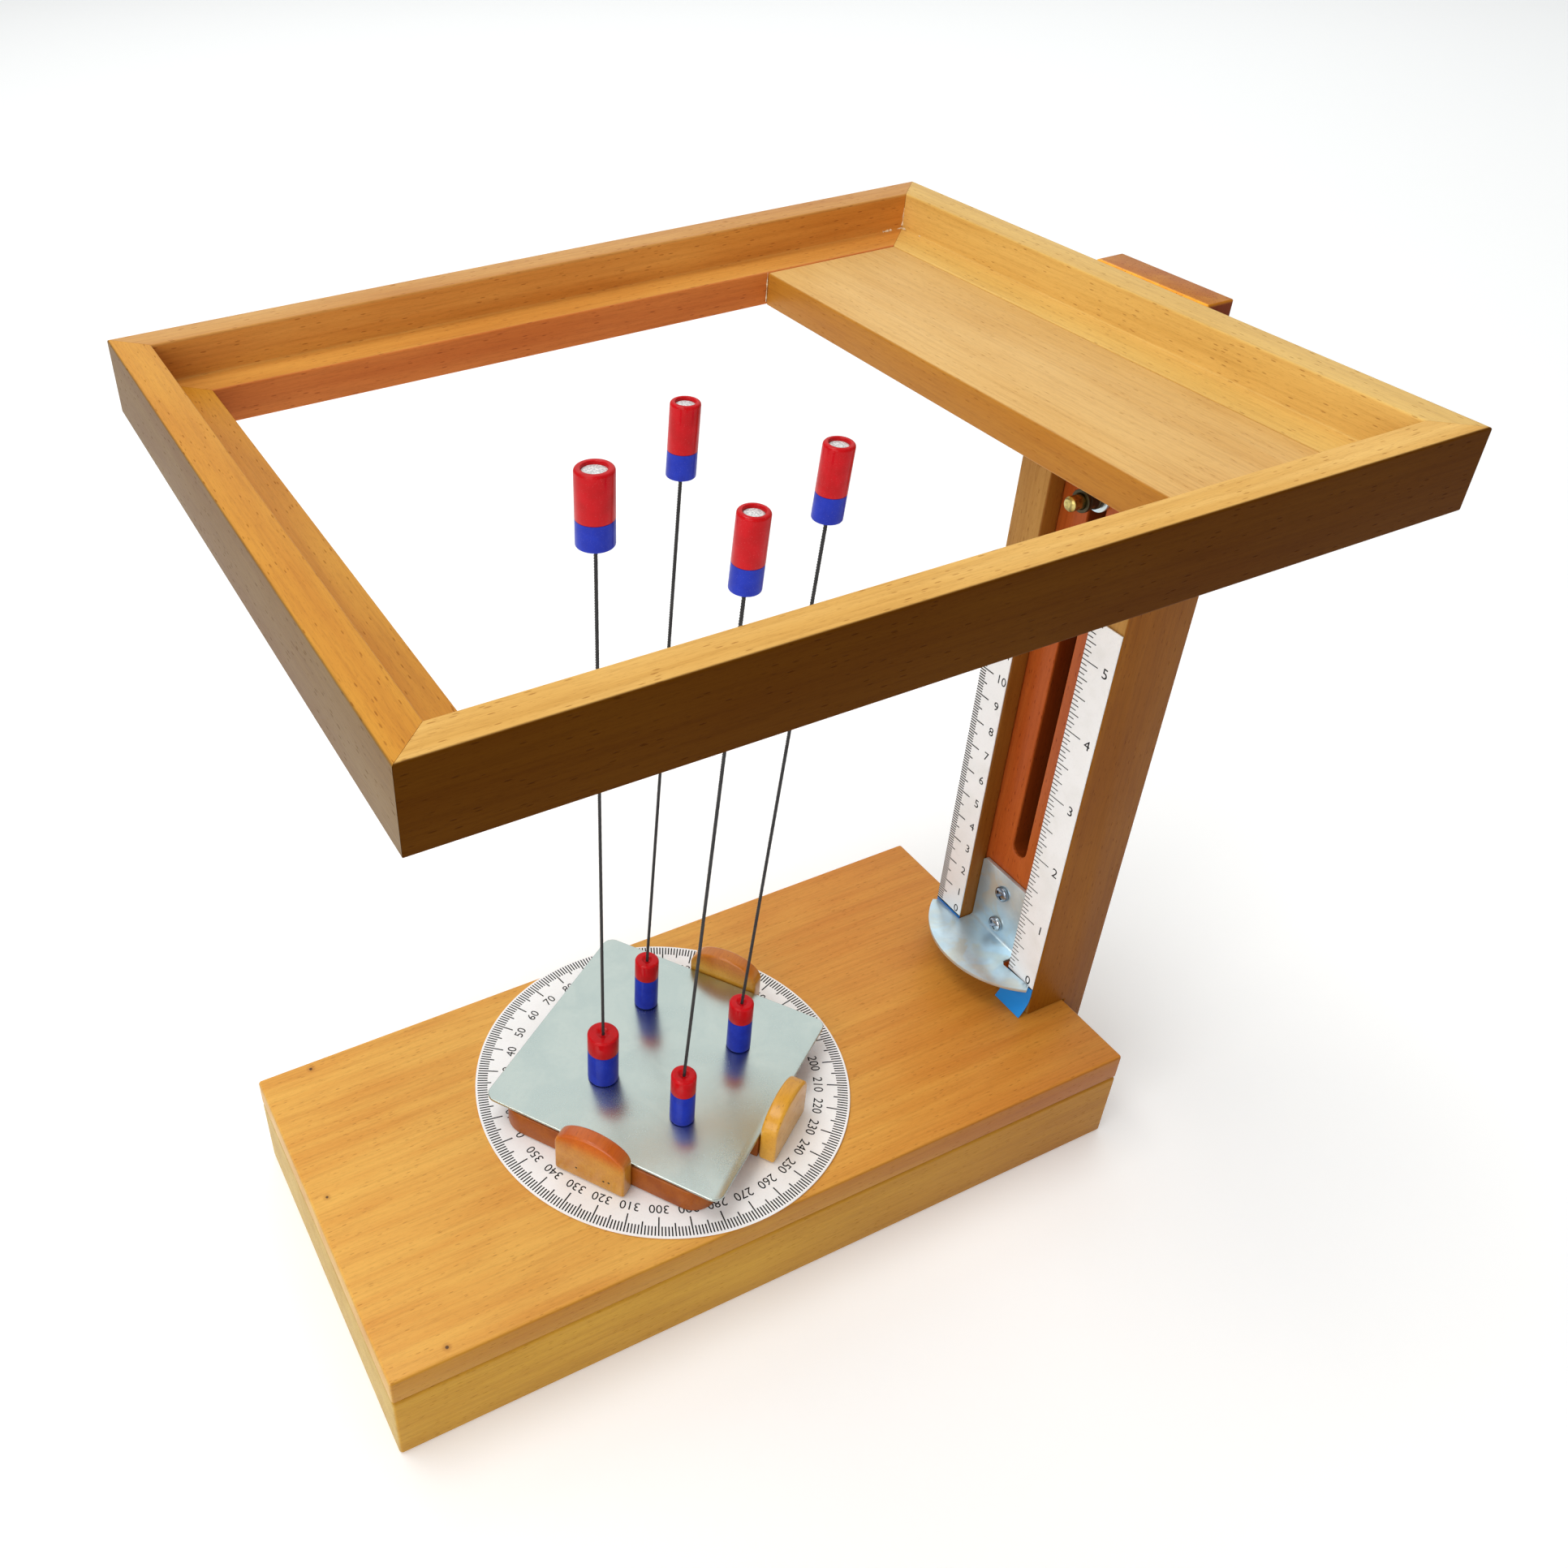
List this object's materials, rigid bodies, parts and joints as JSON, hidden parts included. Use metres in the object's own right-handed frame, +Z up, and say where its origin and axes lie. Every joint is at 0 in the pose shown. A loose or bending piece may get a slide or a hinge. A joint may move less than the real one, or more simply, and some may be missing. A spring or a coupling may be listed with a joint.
{
  "type": "magnet thread loom",
  "caption": "Bench loom with a dial turntable, threads held taut by magnets, and a rebated wooden frame on a clamped sliding column.",
  "frame": {"origin": "on the table, under the middle of the whole stand", "axes": "+X along the base toward the column, +Y across the base, +Z up"},
  "size_m": [0.271, 0.1952, 0.2821],
  "materials": {
    "beech_top": "oiled satin",
    "beech_pale": "raw satin",
    "beech_red": "stained satin",
    "dial_print": "printed matt card",
    "scale_print": "printed satin film",
    "zinc": "zinc-plated satin",
    "red_cap": "gloss",
    "blue_cap": "gloss",
    "thread_black": "waxed cord",
    "brass": "turned"
  },
  "bodies": {
    "stand": {"base_lower_board": "beech_pale", "base_upper_board": "beech_top", "column_rail_left": "beech_top", "column_rail_right": "beech_top", "column_back_board": "beech_top", "scale_cm": "scale_print", "scale_inch": "scale_print", "dial_disc": "dial_print", "turntable_pivot": "zinc", "clamp_bolt": "brass"},
    "carriage": {"slide_panel": "beech_red", "pointer_bracket": "zinc", "pointer_screw_upper": "zinc", "pointer_screw_lower": "zinc", "frame_rail_near": "beech_top", "frame_rail_right": "beech_top", "frame_rail_far": "beech_top", "frame_rail_left": "beech_top", "frame_shelf": "beech_top"},
    "clamp": {"clamp_nut": "brass", "clamp_washer": "zinc"},
    "turntable": {"turntable_block": "beech_red", "lug_left": "beech_top", "lug_right": "beech_top", "lug_far": "beech_top", "lug_spacer": "beech_red"},
    "plate": {"steel_plate": "zinc"},
    "magnet_a": {"foot_blue_a": "blue_cap", "foot_red_a": "red_cap", "thread_a": "thread_black", "top_blue_a": "blue_cap", "top_red_a": "red_cap"},
    "magnet_b": {"foot_blue_b": "blue_cap", "foot_red_b": "red_cap", "thread_b": "thread_black", "top_blue_b": "blue_cap", "top_red_b": "red_cap"},
    "magnet_c": {"foot_blue_c": "blue_cap", "foot_red_c": "red_cap", "thread_c": "thread_black", "top_blue_c": "blue_cap", "top_red_c": "red_cap"},
    "magnet_d": {"foot_blue_d": "blue_cap", "foot_red_d": "red_cap", "thread_d": "thread_black", "top_blue_d": "blue_cap", "top_red_d": "red_cap"}
  },
  "joints": [
    {"name": "carriage_lift", "type": "slide", "parent": "stand", "child": "carriage", "axis": [0, 0, 1], "range_m": [0, 0.13]},
    {"name": "clamp_turn", "type": "hinge", "parent": "stand", "child": "clamp", "pos_m": [0.11, 0, 0.222], "axis": [-1, 0, 0], "range_deg": [-360, 0]},
    {"name": "turntable_spin", "type": "hinge", "parent": "stand", "child": "turntable", "pos_m": [-0.0153, 0.00645, 0.0435], "axis": [0, 0, 1], "continuous": true},
    {"name": "plate_slide", "type": "slide", "parent": "turntable", "child": "plate", "axis": [-0.5519, 0.8339, 0], "range_m": [0, 0.04]},
    {"name": "magnet_a_shift", "type": "slide", "parent": "plate", "child": "magnet_a", "axis": [-0.5519, 0.8339, 0], "range_m": [-0.008, 0.008]},
    {"name": "magnet_b_shift", "type": "slide", "parent": "plate", "child": "magnet_b", "axis": [-0.5519, 0.8339, 0], "range_m": [-0.008, 0.008]},
    {"name": "magnet_c_shift", "type": "slide", "parent": "plate", "child": "magnet_c", "axis": [-0.5519, 0.8339, 0], "range_m": [-0.008, 0.008]},
    {"name": "magnet_d_shift", "type": "slide", "parent": "plate", "child": "magnet_d", "axis": [-0.5519, 0.8339, 0], "range_m": [-0.008, 0.008]}
  ]
}
